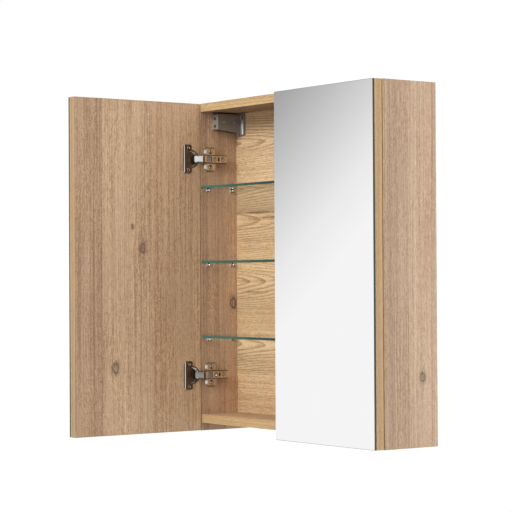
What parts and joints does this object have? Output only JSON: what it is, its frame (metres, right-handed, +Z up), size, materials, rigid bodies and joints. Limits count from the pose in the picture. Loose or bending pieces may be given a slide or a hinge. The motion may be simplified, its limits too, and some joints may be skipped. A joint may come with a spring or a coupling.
{
  "type": "bathroom mirror cabinet",
  "caption": "Wall-hung mirror cabinet in oak board with mirror-faced doors, glass shelves on studs, concealed link hinges and adjustable hangers.",
  "frame": {"origin": "middle of the bottom panel's rear edge, on the wall plane, at half the panel's thickness", "axes": "+Z up, +Y into the wall, +X to the right of a person facing the mirrors"},
  "size_m": [0.6041, 0.427, 0.67],
  "materials": {
    "oak_board": "oak melamine, matt, grain upright on the sides",
    "oak_back": "oak melamine, matt, grain level",
    "oak_edge": "oak edge band, matt",
    "oak_door": "oak melamine, matt, grain upright",
    "mirror": "silvered float glass, ground edges",
    "shelf_glass": "clear float glass, ground edges, green at the edge",
    "nickel": "nickel-plated pressed steel",
    "dark_nickel": "dull zinc-plated folded steel"
  },
  "bodies": {
    "cabinet": {"left_side_panel": "oak_board", "right_side_panel": "oak_board", "top_panel": "oak_board", "bottom_panel": "oak_board", "back_panel": "oak_back", "left_side_edge_band": "oak_edge", "right_side_edge_band": "oak_edge", "top_edge_band": "oak_edge", "bottom_edge_band": "oak_edge", "left_upper_hinge_arm": "nickel", "left_upper_hinge_plate": "nickel", "left_lower_hinge_arm": "nickel", "left_lower_hinge_plate": "nickel", "left_hanger_housing": "dark_nickel", "right_upper_hinge_arm": "nickel", "right_upper_hinge_plate": "nickel", "right_lower_hinge_arm": "nickel", "right_lower_hinge_plate": "nickel", "right_hanger_housing": "dark_nickel", "upper_shelf_pin_left_front": "nickel", "upper_shelf_pin_left_rear": "nickel", "upper_shelf_pin_right_front": "nickel", "upper_shelf_pin_right_rear": "nickel", "middle_shelf_pin_left_front": "nickel", "middle_shelf_pin_left_rear": "nickel", "middle_shelf_pin_right_front": "nickel", "middle_shelf_pin_right_rear": "nickel", "lower_shelf_pin_left_front": "nickel", "lower_shelf_pin_left_rear": "nickel", "lower_shelf_pin_right_front": "nickel", "lower_shelf_pin_right_rear": "nickel"},
    "left_door": {"left_door_panel": "oak_door", "left_door_edge_band": "oak_edge", "left_door_mirror": "mirror", "left_upper_hinge_cup": "nickel", "left_lower_hinge_cup": "nickel"},
    "left_inner_links": {"left_upper_hinge_inner_link": "nickel", "left_lower_hinge_inner_link": "nickel"},
    "left_outer_links": {"left_upper_hinge_outer_link": "nickel", "left_lower_hinge_outer_link": "nickel"},
    "right_door": {"right_door_panel": "oak_door", "right_door_edge_band": "oak_edge", "right_door_mirror": "mirror", "right_upper_hinge_cup": "nickel", "right_lower_hinge_cup": "nickel"},
    "right_inner_links": {"right_upper_hinge_inner_link": "nickel", "right_lower_hinge_inner_link": "nickel"},
    "right_outer_links": {"right_upper_hinge_outer_link": "nickel", "right_lower_hinge_outer_link": "nickel"},
    "upper_shelf": {"upper_glass_shelf": "shelf_glass"},
    "middle_shelf": {"middle_glass_shelf": "shelf_glass"},
    "lower_shelf": {"lower_glass_shelf": "shelf_glass"},
    "left_hook": {"left_hanger_hook": "dark_nickel"},
    "right_hook": {"right_hanger_hook": "dark_nickel"}
  },
  "joints": [
    {"name": "left_door_swing", "type": "hinge", "parent": "left_inner_links", "child": "left_door", "pos_m": [-0.28417, -0.13745, 0], "axis": [0, 0, 1], "range_deg": [-7.72, 138.9]},
    {"name": "left_inner_link_swing", "type": "hinge", "parent": "cabinet", "child": "left_inner_links", "pos_m": [-0.2795, -0.1262, 0], "axis": [0, 0, 1], "range_deg": [-49.1, 2.92]},
    {"name": "left_outer_link_swing", "type": "hinge", "parent": "cabinet", "child": "left_outer_links", "pos_m": [-0.27, -0.1309, 0], "axis": [0, 0, 1], "range_deg": [-37.7, 2.28]},
    {"name": "right_door_swing", "type": "hinge", "parent": "right_inner_links", "child": "right_door", "pos_m": [0.29105, -0.13007, 0], "axis": [0, 0, 1], "range_deg": [0, 146.62]},
    {"name": "right_inner_link_swing", "type": "hinge", "parent": "cabinet", "child": "right_inner_links", "pos_m": [0.2795, -0.1262, 0], "axis": [0, 0, 1], "range_deg": [-51.82, 0.2]},
    {"name": "right_outer_link_swing", "type": "hinge", "parent": "cabinet", "child": "right_outer_links", "pos_m": [0.27, -0.1309, 0], "axis": [0, 0, 1], "range_deg": [-39.78, 0.2]},
    {"name": "upper_shelf_lift", "type": "slide", "parent": "cabinet", "child": "upper_shelf", "axis": [0, 0, 1], "range_m": [0, 0.025]},
    {"name": "middle_shelf_lift", "type": "slide", "parent": "cabinet", "child": "middle_shelf", "axis": [0, 0, 1], "range_m": [0, 0.025]},
    {"name": "lower_shelf_lift", "type": "slide", "parent": "cabinet", "child": "lower_shelf", "axis": [0, 0, 1], "range_m": [0, 0.025]},
    {"name": "left_hook_height", "type": "slide", "parent": "cabinet", "child": "left_hook", "axis": [0, 0, 1], "range_m": [-0.003, 0.005]},
    {"name": "right_hook_height", "type": "slide", "parent": "cabinet", "child": "right_hook", "axis": [0, 0, 1], "range_m": [-0.003, 0.005]}
  ],
  "couplings": [
    {"joint": "left_inner_link_swing", "follows": "left_door_swing", "ratio": -0.35205},
    {"joint": "left_outer_link_swing", "follows": "left_door_swing", "ratio": -0.26998},
    {"joint": "right_inner_link_swing", "follows": "right_door_swing", "ratio": -0.35205},
    {"joint": "right_outer_link_swing", "follows": "right_door_swing", "ratio": -0.26998}
  ]
}
